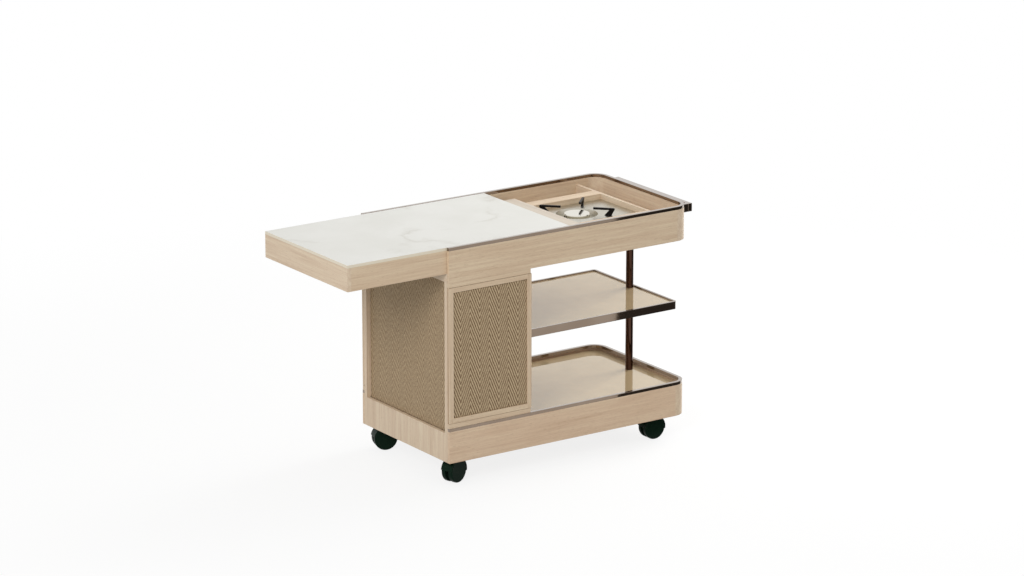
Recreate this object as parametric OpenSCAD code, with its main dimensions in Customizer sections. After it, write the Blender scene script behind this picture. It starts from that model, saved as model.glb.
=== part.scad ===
// Serving trolley with a gas hob under a sliding stone top.
// Millimetres. X runs along the length toward the handle, Y runs to the back, Z is up from the floor.

/* [Body] */
// Length of the tray and of the base
body_l = 1010; // [930:20:1110]
// Depth from the front face to the back face
body_d = 550; // [500:10:620]
// Height of the top rim above the floor
body_h = 850; // [800:10:900]
// Thickness of the tray and base walls
wall_t = 12; // [10:1:14]
// Outer radius of the two upright corners at the handle end
corner_r = 56; // [44:2:60]
// Height of the metal rim on the walls
rim_h = 11; // [8:1:14]
// Height of the wooden walls of the top tray
tray_wall_h = 113; // [108:1:130]
// Height of the wooden walls of the base
base_wall_h = 113; // [100:1:130]
// Gap between the floor and the base walls
base_clear = 87; // [87:1:95]

/* [Cabinet] */
// Width of the cabinet at the left end
cab_w = 338; // [300:2:360]
// Thickness of the cabinet boards
board_t = 18; // [15:1:20]
// Width of the upright stiles on the end face
stile_w = 17; // [14:1:24]
// Depth that the woven end panel lies behind the end face
end_recess = 16; // [8:1:20]
// Thickness of a woven panel
weave_t = 4; // [3:0.5:5]

/* [Doors] */
// Thickness of a door
door_t = 11; // [10:0.5:11]
// Width of the door frame members
door_frame_w = 17; // [15:1:24]
// Depth of the woven panel behind the door face
door_recess = 3; // [2:0.5:4]
// Diameter of the door pivot pins
pivot_d = 4; // [3:0.5:5]

/* [Sliding top] */
// Distance that the top stands out past the tray as modelled
slide_out = 395; // [200:5:420]
// Clear length between the closed top and the partition
slide_gap = 1.5; // [1:0.5:10]
// Thickness of the stone
stone_t = 10; // [8:1:11]
// Height of the wooden skirt under the stone
skirt_h = 82; // [70:1:84]
// Thickness of the skirt boards
skirt_t = 15; // [14:1:16]

/* [Middle shelf] */
// Height of the shelf rim above the floor
shelf_top = 499; // [440:1:560]
// Height of the shelf edge
shelf_h = 28; // [22:1:34]
// Distance of the shelf from the front face and from the back face
shelf_inset = 26; // [20:1:45]
// Distance of the shelf from the handle end
shelf_end = 34; // [20:1:45]
// Outer radius of the two shelf corners
shelf_r = 12; // [9:1:24]
// Thickness of the shelf edge
shelf_edge_t = 8; // [4:0.5:10]
// Depth of the shelf floor under its rim
shelf_lip = 4.5; // [2:0.5:6]
// Diameter of the post
post_d = 27; // [22:1:32]
// Clearance between the post and the end edge of the shelf
post_gap = 4.5; // [1:0.5:20]

/* [Handle] */
// Length of the handle
handle_l = 441; // [360:1:450]
// Height of the handle section
handle_h = 29; // [22:1:34]
// Thickness of the handle section
handle_t = 16; // [12:1:20]
// Reach of the handle past the body
handle_reach = 47; // [40:1:60]
// Depth of the handle top under the rim
handle_drop = 14; // [11:1:30]

/* [Hob] */
// Depth of the wooden hob surround under the rim
surround_drop = 29; // [27:1:36]
// Distance of the partition from the handle end
partition_inset = 99; // [96:1:100]
// Thickness of the partition
partition_t = 11; // [9:1:11]
// Length of the hob plate
hob_l = 290; // [280:2:300]
// Depth of the hob plate from front to back
hob_d = 276; // [268:2:290]
// Distance of the hob plate from the front face
hob_y = 108; // [96:1:112]
// Depth of the hob plate under the surround
hob_sink = 19; // [17:1:24]
// Thickness of the hob plate
plate_t = 1.5; // [1:0.5:2]
// Distance of the burner from the left edge of the hob plate
burner_x = 105; // [102:1:140]
// Distance of the burner from the front edge of the hob plate
burner_y = 160; // [128:1:160]
// Diameter of the burner cap
cap_d = 92; // [80:1:96]
// Diameter of the dish round the burner
dish_d = 147; // [140:1:152]
// Depth of the dish round the burner
dish_h = 18; // [16:1:20]
// Clearance between the arm ends and the hob surround
arm_gap = 7.8; // [3:0.2:12]
// Distance of the arm tips from the burner axis
arm_in = 58; // [54:1:70]
// Height of the arms above the hob plate
arm_h = 26; // [20:0.5:28]
// Thickness of the arms
arm_t = 7; // [5:0.5:8]
// Diameter of the control knob
knob_d = 30; // [26:1:32]
// Height of the control knob
knob_h = 10; // [8:1:12]

/* [Casters] */
// Diameter of the wheels
wheel_d = 84; // [75:1:84]
// Width of one wheel
wheel_w = 16; // [12:1:18]
// Thickness of the web between the twin wheels
web_t = 12; // [11:0.5:13]
// Distance of the wheel axle behind the swivel axis
caster_trail = 30; // [20:1:30]
// Distance of the swivel axes from both ends of the body
caster_x = 82; // [70:1:110]
// Distance of the swivel axes from the front and the back
caster_y = 65; // [60:1:90]

/* [Hidden] */
$fn = 96;

// Clearances
eps = 1;              // overshoot of a cutting solid
fit = 0.05;           // radial running clearance of a pin in its bore
run = 0.3;            // clearance of sliding and swinging faces
side_gap = 1;         // gap between the skirt and the tray walls
door_gap = 1;         // gap between a door and the cabinet, and between a door and the end face

// Levels
base_top = base_clear + base_wall_h;
base_rim_top = base_top + rim_h;
tray_top = body_h - rim_h;
tray_bot = tray_top - tray_wall_h;
deck_t = 14;          // tray floor board
floor_t = 12;         // base floor board
glass_t = 4;          // mirror glass on the base and on the shelf
deck_sink = 9;        // depth of the base mirror under the wooden wall tops
mirror_top = base_top - deck_sink;
floor_top = mirror_top - glass_t;
bottom_t = 15;        // board that carries the casters
bottom_lift = 18;     // height of that board above the wall bottoms
bottom_z = base_clear + bottom_lift;
end_drop = 10;        // depth of the end board top under the wall tops
deck_top = tray_bot + deck_t;
surround_top = body_h - surround_drop;

// Model box, whose bottom centre is the origin
mid_x = (body_l + handle_reach - slide_out) / 2;
mid_y = body_d / 2;

// Cabinet
reveal = board_t;
end_t = end_recess + weave_t;
door_z = base_rim_top + reveal;
door_h = tray_bot - reveal - door_z;
door_w = cab_w - door_gap;
carcass_y = door_t + door_gap;
pivot_off = door_t / 2;
pivot_len = 10;       // length of a pivot pin inside the door
bracket_l = 18;       // pivot bracket along the door
bracket_t = 2;        // pivot bracket thickness
bracket_x = door_gap + pivot_off / 2;
bracket_y = pivot_off - pivot_d / 2;
bracket_tab = bracket_l / 2;
lip_inset = 1.5;      // distance of the strips over and under a door from the outer faces
lip_end = 3;          // distance of those strips from the right end of the cabinet
lip_gap = 1.2;        // gap between a strip and the door
lip_lap = 0.5;        // overlap of a strip and its board

// Sliding top
slide_x0 = -slide_out;
skirt_y = wall_t + side_gap;
skirt_top = tray_top + run;
skirt_bot = skirt_top - skirt_h;
channel_w = 10;       // outer width of the runner channel
channel_h = 10;       // height of the runner channel
channel_wall = 1.5;   // wall of the runner channel
channel_slot = 4;     // slot in the underside of the channel
rail_web = 3;         // web of the guide rail
rail_base_w = 14;     // foot of the guide rail
rail_base_t = 2;      // thickness of that foot
rail_end_gap = 20;    // clear length between the guide rails and the partition
rail_y = wall_t + side_gap + skirt_t / 2;
end_rail_t = 18;      // end rail along the trolley
post_x = body_l - shelf_end - shelf_edge_t - post_gap - post_d / 2;

// Hob
part_x = body_l - partition_inset - partition_t;
slide_l = part_x - slide_gap;
hob_x = part_x - hob_l;
left_w = 70;          // width of the surround on the left
rail_h = surround_top - deck_top;
back_w = 49;          // width of the surround behind the hob
left_back = 50;       // distance of the left surround from the back face
skirt_clear = 2;      // clearance of the surround behind the front skirt board
front_gap = skirt_y + skirt_t + skirt_clear;
shell_t = 10;         // boards of the surround
plate_top = surround_top - hob_sink;
burner_cx = hob_x + burner_x;
burner_cy = hob_y + burner_y;
burner_z = plate_top - dish_h;
ledge = 8;            // width and height of the ledge under the hob plate
dish_flare = 6;       // slope of the dish wall
dish_hole_r = 8;      // gas inlet in the middle of the dish
cap_lap = 6;          // width of the cap's edge past the crown
crown_d = cap_d - 2 * cap_lap;
crown_h = 5;
crown_lip = 8;        // width of the crown's edge past its neck
crown_neck_d = crown_d - 2 * crown_lip;
cap_t = 12;
cap_edge = 2;         // chamfer of the cap
cap_rise = 2.7;       // height of the cap's top above the plate
cap_z = plate_top + cap_rise - cap_t;
slot_n = 24;          // flame slots
slot_w = 2.5;
arm_room = min(burner_x, burner_y, hob_l - burner_x, hob_d - burner_y) - arm_gap;
arm_out = arm_room * sqrt(2) - arm_t / 2;
bar_h = 7;            // height of the level part of an arm
leg_w = 25;           // width of an arm's leg on the plate
leg_top_w = 19;       // width of the leg under the level part
foot_in = 36;         // distance of the foot inside the arm end
arm_round = 5;        // radius of the arm's outer corner
spark_d = 4;          // igniter pin
spark_collar_d = 8;
spark_collar_h = 4;
spark_drop = 2;       // depth of the pin's tip under the plate
knob_end = 50;         // distance of the knob from the partition
knob_x = part_x - knob_end;
knob_y = 52;
knob_skin = 3;        // knob over the end of its stem
knob_disc_h = knob_h - 4;
grip_w = 5;           // grip across the knob
knob_inset = 1;       // distance of the grip's ends inside the knob's edge
stem_d = 8;
valve_d = 22;
valve_h = 34;

// Handle
handle_y0 = (body_d - handle_l) / 2;
handle_z0 = body_h - handle_drop - handle_h;
stud_d = 6;
stud_in = 8;          // depth of a stud in the end wall
stud_len = 30;

// Casters
axle_z = wheel_d / 2;
gap_w = web_t + 2;    // gap between the twin wheels
hood_gap = 0.4;       // clearance of the hood over the treads
hood_t = 1.5;
hood_in = axle_z + hood_gap;
hood_r = hood_in + hood_t;
hood_rise = 14;       // height of the hood's rear edge above the axle, at twice its radius
hood_fall = 18;       // depth of the hood's front edge under the axle, at twice its radius
boss_w = 8;           // half width of the web under the axle
boss_h = 9;           // depth of the web under the axle
web_rear = 6;         // height of the web's ends above the axle
web_front = 4;
pin_d = 8;            // swivel pin
pin_end = 4;          // wall between the swivel pin and the axle bore
axle_d = 6;
plate_edge = 8;       // width of the mounting plate past the bolts
plate_h = 3;
neck_d = 20;          // neck that turns on the swivel pin
neck_in = 6;          // depth of the neck in the hood
washer_h = 4;
washer_d = 26;
tread_in = 1;         // chamfer of a tread's inner edge
tread_out = 4;        // rounding of a tread's outer edge, in two facets
tread_step = 1.2;
bolt_pitch = 44;
plate_w = bolt_pitch + 2 * plate_edge;
bolt_d = 6;
bolt_head_d = 11;
bolt_head_h = 2.5;
bolt_l = 10;
pin_len = bottom_z - plate_h - axle_z - axle_d - pin_end;
yaw_fl = 19;          // rest angles of the swivels
yaw_fr = 0;
yaw_bl = -17;
yaw_br = -8;

wood = "burlywood";
bronze = "saddlebrown";
steel = "silver";

// Puts the bottom centre of the model box on the origin
module placed() {
    translate([-mid_x, -mid_y, 0]) children();
}

// Plan from x0 to x1 with both long sides y0 inside the body, round at the x1 end
module rounded(x0, x1, y0, r) {
    translate([x0, y0]) square([x1 - r - x0, body_d - 2 * y0]);
    translate([x0, y0 + r]) square([x1 - x0, body_d - 2 * (y0 + r)]);
    for (y = [y0 + r, body_d - y0 - r])
        translate([x1 - r, y]) circle(r = r);
}

// Plan of the body pulled in by inset
module plan(inset) {
    rounded(0, body_l - inset, inset, corner_r - inset);
}

// Plan of the shelf pulled in by inset
module shelf_plan(inset) {
    rounded(cab_w, body_l - shelf_end - inset, shelf_inset + inset, shelf_r - inset);
}

// Board that fills the plan inside the given inset from x0 to the handle end
module board(inset, x0, z0, h) {
    translate([0, 0, z0]) linear_extrude(h) intersection() {
        plan(inset);
        translate([x0, 0]) square([body_l - x0, body_d]);
    }
}

// Band that follows three sides of the plan between two insets, from x0
module band(outer, inner, x0, z0, h) {
    translate([0, 0, z0]) linear_extrude(h) difference() {
        intersection() {
            plan(outer);
            translate([x0, 0]) square([body_l - x0, body_d]);
        }
        plan(inner);
        translate([x0 - eps, inner]) square([2 * eps, body_d - 2 * inner]);
    }
}

// Rounded handle end of a wall
module round_end(z0, h) {
    translate([0, 0, z0]) linear_extrude(h) intersection() {
        difference() {
            plan(0);
            plan(wall_t);
        }
        translate([body_l - corner_r, 0]) square([corner_r, body_d]);
    }
}

module wall_board(y, z0, h) {
    translate([0, y, z0]) cube([body_l - corner_r, wall_t, h]);
}

// Base
module base_front() {
    color(wood) placed() wall_board(0, base_clear, base_wall_h);
}

module base_back() {
    color(wood) placed() wall_board(body_d - wall_t, base_clear, base_wall_h);
}

module base_end() {
    color(wood) placed() translate([0, wall_t, base_clear])
        cube([wall_t, body_d - 2 * wall_t, base_wall_h - end_drop]);
}

module base_round_end() {
    color(wood) placed() round_end(base_clear, base_wall_h);
}

module base_bottom() {
    color(wood) placed() difference() {
        board(wall_t, wall_t, bottom_z, bottom_t);
        each_corner() bolt_spots() translate([0, 0, -eps])
            cylinder(d = bolt_d + 2 * fit, h = bolt_l + fit + eps);
    }
}

module base_battens() {
    span = floor_top - floor_t - bottom_z - bottom_t;
    color(wood) placed() for (x = [body_l / 6, body_l / 2, 5 * body_l / 6])
        translate([x - board_t / 2, wall_t, bottom_z + bottom_t])
            cube([board_t, body_d - 2 * wall_t, span]);
}

module base_floor() {
    color(wood) placed() board(wall_t, wall_t, floor_top - floor_t, floor_t);
}

module base_rim() {
    color(bronze) placed() band(0, wall_t, 0, base_top, rim_h);
}

module base_mirror() {
    color("tan") placed() difference() {
        board(wall_t, cab_w, floor_top, glass_t);
        post_hole(floor_top, glass_t);
    }
}

// Cabinet
module end_stiles() {
    z0 = base_top - end_drop;
    color(wood) placed() for (y = [carcass_y, body_d - carcass_y - stile_w])
        translate([0, y, z0]) cube([end_t, stile_w, tray_bot - z0]);
}

module end_weave() {
    y0 = carcass_y + stile_w;
    color("peru") placed() translate([end_recess, y0, floor_top])
        cube([weave_t, body_d - 2 * y0, tray_bot - floor_top]);
}

// Strip on the front edge of a cabinet board, which fills the reveal, and room for a pivot bracket
module door_strip() {
    translate([0, lip_inset, lip_gap])
        cube([cab_w - lip_end, carcass_y - lip_inset, board_t - lip_gap]);
}

module bracket_room() {
    translate([bracket_x - run, bracket_y - run, -eps])
        cube([bracket_l + 2 * run, carcass_y - bracket_y + run, bracket_tab + 2 * run + eps]);
}

// Cabinet board of a length, drawn upwards from its face beside the doors
module edged_board(l) {
    lap_y = carcass_y - lip_lap;
    difference() {
        union() {
            translate([end_t, lap_y, 0]) cube([l, body_d - 2 * lap_y, board_t]);
            door_strip();
            to_back() door_strip();
        }
        bracket_room();
        to_back() bracket_room();
    }
}

module cabinet_bottom() {
    color(wood) placed() translate([0, 0, door_z]) mirror([0, 0, 1])
        edged_board(cab_w - board_t - end_t);
}

module cabinet_top() {
    color(wood) placed() translate([0, 0, tray_bot - reveal]) edged_board(cab_w - end_t);
}

module cabinet_side() {
    color(wood) placed() translate([cab_w - board_t, carcass_y, floor_top])
        cube([board_t, body_d - 2 * carcass_y, tray_bot - board_t - floor_top]);
}

// Middle shelf
module post_hole(z0, h) {
    translate([post_x, mid_y, z0 - eps]) cylinder(d = post_d + 2 * fit, h = h + 2 * eps);
}

module shelf_edge() {
    y0 = shelf_inset + shelf_edge_t;
    color(bronze) placed() translate([0, 0, shelf_top - shelf_h]) linear_extrude(shelf_h) difference() {
        shelf_plan(0);
        shelf_plan(shelf_edge_t);
        translate([cab_w - eps, y0]) square([2 * eps, body_d - 2 * y0]);
    }
}

module shelf_fill(z0, h) {
    difference() {
        translate([0, 0, z0]) linear_extrude(h) shelf_plan(shelf_edge_t);
        post_hole(z0, h);
    }
}

module shelf_board() {
    z0 = shelf_top - shelf_h;
    color(wood) placed() shelf_fill(z0, shelf_h - shelf_lip - glass_t);
}

module shelf_mirror() {
    color("tan") placed() shelf_fill(shelf_top - shelf_lip - glass_t, glass_t);
}

module post() {
    color(bronze) placed() translate([post_x, mid_y, floor_top])
        cylinder(d = post_d, h = tray_bot - floor_top);
}

// Top tray
module tray_front() {
    color(wood) placed() wall_board(0, tray_bot, tray_wall_h);
}

module tray_back() {
    color(wood) placed() wall_board(body_d - wall_t, tray_bot, tray_wall_h);
}

module tray_round_end() {
    color(wood) placed() difference() {
        round_end(tray_bot, tray_wall_h);
        stud_holes();
    }
}

module tray_end_rail() {
    color(wood) placed() translate([0, wall_t, tray_bot])
        cube([end_rail_t, body_d - 2 * wall_t, skirt_bot - 2 * run - tray_bot]);
}

module tray_floor() {
    color(wood) placed() board(wall_t, end_rail_t, tray_bot, deck_t);
}

module tray_rim() {
    color(bronze) placed() band(0, wall_t, 0, tray_top, rim_h);
}

module partition() {
    color(wood) placed() translate([part_x, wall_t, deck_top])
        cube([partition_t, body_d - 2 * wall_t, surround_top - deck_top]);
}

// Section of the guide rail: foot, web and the head that the channel holds down
module rail_section() {
    head_w = channel_w - 2 * channel_wall - 2 * run;
    head_bot = skirt_bot + channel_wall + run;
    head_top = skirt_bot + channel_h - channel_wall - run;
    translate([-rail_base_w / 2, deck_top]) square([rail_base_w, rail_base_t]);
    translate([-rail_web / 2, deck_top]) square([rail_web, head_top - deck_top]);
    translate([-head_w / 2, head_bot]) square([head_w, head_top - head_bot]);
}

// Stands a section of Y and Z up and draws it along X
module along_x(x0, len, y) {
    translate([x0, y, 0]) rotate([90, 0, 90]) linear_extrude(len) children();
}

module guide_rails() {
    color(steel) placed() for (y = [rail_y, body_d - rail_y])
        along_x(end_rail_t, part_x - rail_end_gap - end_rail_t, y) rail_section();
}

// Handle
module handle_bar() {
    color(bronze) placed() translate([body_l + handle_reach - handle_t, handle_y0, handle_z0])
        cube([handle_t, handle_l, handle_h]);
}

module stud_at() {
    for (y = [handle_y0 + handle_t / 2, handle_y0 + handle_l - handle_t / 2])
        translate([body_l - stud_in, y, handle_z0 + handle_h / 2]) rotate([0, 90, 0]) children();
}

module stud_holes() {
    stud_at() translate([0, 0, -fit]) cylinder(d = stud_d + 2 * fit, h = stud_len + 2 * fit);
}

module handle_legs() {
    color(bronze) placed() difference() {
        for (y = [handle_y0, handle_y0 + handle_l - handle_t])
            translate([body_l, y, handle_z0]) cube([handle_reach - handle_t, handle_t, handle_h]);
        stud_holes();
    }
}

module handle_studs() {
    color(steel) placed() stud_at() cylinder(d = stud_d, h = stud_len);
}

// Hob surround: hollow boxed rails, open underneath
module boxed(pos, size) {
    translate(pos) difference() {
        cube(size);
        translate([shell_t, shell_t, -eps])
            cube([size[0] - 2 * shell_t, size[1] - 2 * shell_t, size[2] - shell_t + eps]);
    }
}

module surround_left() {
    color(wood) placed()
        boxed([hob_x - left_w, front_gap, deck_top], [left_w, body_d - left_back - front_gap, rail_h]);
}

// Ledge along a surround rail, which carries an edge of the hob plate
module plate_ledge(y) {
    translate([hob_x, y, plate_top - plate_t - ledge]) cube([hob_l, ledge, ledge]);
}

module surround_back() {
    color(wood) placed() {
        boxed([hob_x, hob_y + hob_d, deck_top], [hob_l, back_w, rail_h]);
        plate_ledge(hob_y + hob_d - ledge);
    }
}

module surround_front() {
    color(wood) placed() {
        difference() {
            boxed([hob_x, front_gap, deck_top], [hob_l, hob_y - front_gap, rail_h]);
            translate([knob_x, knob_y, surround_top - shell_t - eps])
                cylinder(d = stem_d + 2 * fit, h = shell_t + 2 * eps);
        }
        plate_ledge(hob_y);
    }
}

module hob_plate() {
    r = dish_d / 2;
    color(steel) placed() {
        difference() {
            translate([hob_x, hob_y, plate_top - plate_t]) cube([hob_l, hob_d, plate_t]);
            translate([burner_cx, burner_cy, plate_top - plate_t - eps])
                cylinder(r = r, h = plate_t + 2 * eps);
        }
        translate([burner_cx, burner_cy, plate_top]) rotate_extrude() polygon([
            [dish_hole_r, -dish_h], [r - dish_flare, -dish_h], [r, 0], [r + plate_t, 0],
            [r + plate_t, -plate_t], [r - dish_flare + plate_t, -dish_h - plate_t],
            [dish_hole_r, -dish_h - plate_t]
        ]);
    }
}

// Burner
module burner_base() {
    color("gray") placed() translate([burner_cx, burner_cy, burner_z]) {
        cylinder(d = crown_neck_d, h = cap_z - burner_z - crown_h / 2);
        difference() {
            translate([0, 0, cap_z - burner_z - crown_h]) cylinder(d = crown_d, h = crown_h);
            for (i = [0:slot_n - 1])
                rotate([0, 0, i * 360 / slot_n])
                    translate([crown_neck_d / 2, -slot_w / 2, cap_z - burner_z - crown_h / 2])
                        cube([crown_d, slot_w, crown_h]);
        }
    }
}

module burner_cap() {
    r = cap_d / 2;
    color("gainsboro") placed() translate([burner_cx, burner_cy, cap_z]) rotate_extrude() polygon([
        [0, 0], [r - cap_edge / 2, 0], [r, cap_edge], [r, cap_t - cap_edge], [r - cap_edge, cap_t],
        [0, cap_t]
    ]);
}

// One arm in the plane of its radius: a level bar, a rounded outer corner and a leg that leans in
module arm_profile() {
    foot_r = arm_out - foot_in;
    bend = arm_h - arm_round;
    translate([arm_in, arm_h - bar_h]) square([arm_out - arm_in - arm_round, bar_h]);
    translate([arm_out - arm_round, bend]) circle(r = arm_round);
    polygon([
        [arm_out, bend], [foot_r + leg_w, 0], [foot_r, 0],
        [arm_out - leg_top_w, arm_h - bar_h], [arm_out - arm_round, bend]
    ]);
}

module pan_arms() {
    color("dimgray") placed() translate([burner_cx, burner_cy, plate_top])
        for (a = [-45, 45, 135])
            rotate([0, 0, a]) translate([0, arm_t / 2, 0]) rotate([90, 0, 0])
                linear_extrude(arm_t) arm_profile();
}

module igniter() {
    color("dimgray") placed()
        translate([burner_cx - cap_d / 2 - spark_d, burner_cy + spark_d, burner_z]) {
            cylinder(d = spark_collar_d, h = spark_collar_h);
            cylinder(d = spark_d, h = dish_h - spark_drop);
        }
}

module gas_valve() {
    color("gray") placed() translate([knob_x, knob_y, surround_top - shell_t - valve_h]) {
        cylinder(d = valve_d, h = valve_h);
        cylinder(d = stem_d, h = valve_h + shell_t + knob_h - knob_skin);
    }
}

module knob() {
    grip_l = knob_d - 2 * knob_inset;
    color("dimgray") placed() translate([knob_x, knob_y, surround_top + run]) difference() {
        union() {
            cylinder(d = knob_d, h = knob_disc_h);
            translate([-grip_l / 2, -grip_w / 2, 0]) cube([grip_l, grip_w, knob_h]);
        }
        translate([0, 0, -eps]) cylinder(d = stem_d + 2 * fit, h = knob_h - knob_skin + eps);
    }
}

// Sliding top
module stone_top() {
    color("white") placed() translate([slide_x0, skirt_y, skirt_top])
        cube([slide_l, body_d - 2 * skirt_y, stone_t]);
}

module skirt_board(y) {
    groove = channel_w / 2;
    translate([slide_x0 + skirt_t, y, skirt_bot]) difference() {
        cube([slide_l - skirt_t, skirt_t, skirt_h]);
        translate([-eps, skirt_t / 2 - groove, -eps])
            cube([slide_l + 2 * eps, channel_w, channel_h + eps]);
    }
}

module skirt_front() {
    color(wood) placed() skirt_board(skirt_y);
}

module skirt_back() {
    color(wood) placed() skirt_board(body_d - skirt_y - skirt_t);
}

module skirt_end() {
    color(wood) placed() translate([slide_x0, skirt_y, skirt_bot])
        cube([skirt_t, body_d - 2 * skirt_y, skirt_h]);
}

module channel_section() {
    difference() {
        translate([-channel_w / 2, skirt_bot]) square([channel_w, channel_h]);
        translate([-channel_w / 2 + channel_wall, skirt_bot + channel_wall])
            square([channel_w - 2 * channel_wall, channel_h - 2 * channel_wall]);
        translate([-channel_slot / 2, skirt_bot - eps]) square([channel_slot, channel_wall + 2 * eps]);
    }
}

module runners() {
    color(steel) placed() for (y = [rail_y, body_d - rail_y])
        along_x(slide_x0 + skirt_t, slide_l - skirt_t, y) channel_section();
}

// Doors, drawn for the front; the back door is the same door mirrored
module door_frame() {
    translate([door_gap, 0, door_z]) difference() {
        cube([door_w, door_t, door_h]);
        translate([door_frame_w, -eps, door_frame_w])
            cube([door_w - 2 * door_frame_w, door_t + 2 * eps, door_h - 2 * door_frame_w]);
        translate([0, 0, -eps]) linear_extrude(door_h + 2 * eps) difference() {
            translate([-eps, pivot_off]) square([pivot_off + eps, pivot_off + eps]);
            translate([pivot_off, pivot_off]) circle(r = pivot_off);
        }
        for (z = [-eps, door_h - pivot_len - run])
            translate([pivot_off, pivot_off, z])
                cylinder(d = pivot_d + 2 * fit, h = pivot_len + run + eps);
    }
}

module door_weave() {
    translate([door_gap + door_frame_w, door_recess, door_z + door_frame_w])
        cube([door_w - 2 * door_frame_w, weave_t, door_h - 2 * door_frame_w]);
}

module to_back() {
    translate([0, body_d, 0]) mirror([0, 1, 0]) children();
}

module door_front_frame() {
    color(wood) placed() door_frame();
}

module door_front_weave() {
    color("peru") placed() door_weave();
}

module door_back_frame() {
    color(wood) placed() to_back() door_frame();
}

module door_back_weave() {
    color("peru") placed() to_back() door_weave();
}

// Bracket on the edge of a cabinet board, with the pin that the door turns on
module pivot(z, turn) {
    translate([0, 0, z]) mirror([0, 0, turn]) {
        translate([bracket_x, bracket_y, -bracket_t])
            cube([bracket_l, carcass_y - bracket_y, bracket_t]);
        translate([bracket_x, carcass_y - bracket_t, -bracket_tab])
            cube([bracket_l, bracket_t, bracket_tab]);
        translate([door_gap + pivot_off, pivot_off, -bracket_t])
            cylinder(d = pivot_d, h = pivot_len + bracket_t);
    }
}

module pivot_pair() {
    pivot(door_z - run, 0);
    pivot(door_z + door_h + run, 1);
}

module door_pivots() {
    color(steel) placed() {
        pivot_pair();
        to_back() pivot_pair();
    }
}

// Casters
module each_corner() {
    for (x = [caster_x, body_l - caster_x])
        for (y = [caster_y, body_d - caster_y])
            translate([x, y, 0]) children();
}

module bolt_spots() {
    for (x = [-bolt_pitch / 2, bolt_pitch / 2])
        for (y = [-bolt_pitch / 2, bolt_pitch / 2])
            translate([x, y, bottom_z]) children();
}

module caster_plates() {
    color(steel) placed() each_corner() difference() {
        union() {
            translate([-plate_w / 2, -plate_w / 2, bottom_z - plate_h]) cube([plate_w, plate_w, plate_h]);
            translate([0, 0, bottom_z - plate_h - washer_h]) cylinder(d = washer_d, h = washer_h);
            translate([0, 0, bottom_z - plate_h - pin_len]) cylinder(d = pin_d, h = pin_len);
        }
        bolt_spots() translate([0, 0, -plate_h - eps])
            cylinder(d = bolt_d + 2 * fit, h = plate_h + 2 * eps);
    }
}

module caster_bolts() {
    color(steel) placed() each_corner() bolt_spots() {
        translate([0, 0, -plate_h]) cylinder(d = bolt_d, h = plate_h + bolt_l);
        translate([0, 0, -plate_h - bolt_head_h]) cylinder(d = bolt_head_d, h = bolt_head_h);
    }
}

// Fork of a caster about its swivel axis: neck, web between the wheels, and hood over the treads
module fork() {
    neck_top = bottom_z - plate_h - washer_h - run;
    neck_bot = axle_z + hood_r - neck_in;
    column_z = axle_z + boss_w;
    width = gap_w + 2 * wheel_w;
    difference() {
        union() {
            translate([0, 0, neck_bot]) cylinder(d = neck_d, h = neck_top - neck_bot);
            rotate([90, 0, 0]) translate([0, 0, -web_t / 2]) linear_extrude(web_t) intersection() {
                translate([-caster_trail, axle_z]) circle(r = hood_r);
                polygon([
                    [-caster_trail - hood_r, axle_z + hood_r],
                    [-caster_trail - hood_r, axle_z + web_rear],
                    [-caster_trail - boss_w, axle_z - boss_h],
                    [-caster_trail + boss_w, axle_z - boss_h],
                    [hood_r, axle_z + web_front], [hood_r, axle_z + hood_r]
                ]);
            }
            translate([-web_t / 2, -web_t / 2, column_z]) cube([web_t, web_t, neck_bot + eps - column_z]);
            hood(width);
        }
        translate([0, 0, axle_z]) cylinder(d = pin_d + 2 * fit, h = neck_top);
        translate([-caster_trail, 0, axle_z]) rotate([90, 0, 0])
            cylinder(d = axle_d + 2 * fit, h = width + 2 * eps, center = true);
    }
}

module hood(width) {
    rear = -caster_trail - 2 * hood_r;
    front = -caster_trail + 2 * hood_r;
    rotate([90, 0, 0]) translate([0, 0, -width / 2]) linear_extrude(width) difference() {
        translate([-caster_trail, axle_z]) circle(r = hood_r);
        translate([-caster_trail, axle_z]) circle(r = hood_in);
        polygon([
            [rear, -hood_r], [rear, axle_z + hood_rise], [-caster_trail, axle_z],
            [front, axle_z - hood_fall], [front, -hood_r]
        ]);
    }
}

// Twin wheels on their axle, each with a rounded outer edge
module wheels() {
    r = wheel_d / 2;
    translate([-caster_trail, 0, axle_z]) rotate([90, 0, 0]) {
        cylinder(d = axle_d, h = gap_w + wheel_w, center = true);
        for (s = [0, 1])
            mirror([0, 0, s]) translate([0, 0, gap_w / 2]) rotate_extrude() polygon([
                [0, 0], [r - tread_in, 0], [r, tread_in], [r, wheel_w - tread_out],
                [r - tread_step, wheel_w - tread_step], [r - tread_out, wheel_w], [0, wheel_w]
            ]);
    }
}

module at_caster(right, back, yaw) {
    x = right ? body_l - caster_x : caster_x;
    y = back ? body_d - caster_y : caster_y;
    placed() translate([x, y, 0]) rotate([0, 0, yaw]) children();
}

module caster_fl_fork() {
    color("darkslategray") at_caster(false, false, yaw_fl) fork();
}

module caster_fl_wheels() {
    color("black") at_caster(false, false, yaw_fl) wheels();
}

module caster_fr_fork() {
    color("darkslategray") at_caster(true, false, yaw_fr) fork();
}

module caster_fr_wheels() {
    color("black") at_caster(true, false, yaw_fr) wheels();
}

module caster_bl_fork() {
    color("darkslategray") at_caster(false, true, yaw_bl) fork();
}

module caster_bl_wheels() {
    color("black") at_caster(false, true, yaw_bl) wheels();
}

module caster_br_fork() {
    color("darkslategray") at_caster(true, true, yaw_br) fork();
}

module caster_br_wheels() {
    color("black") at_caster(true, true, yaw_br) wheels();
}

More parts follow.
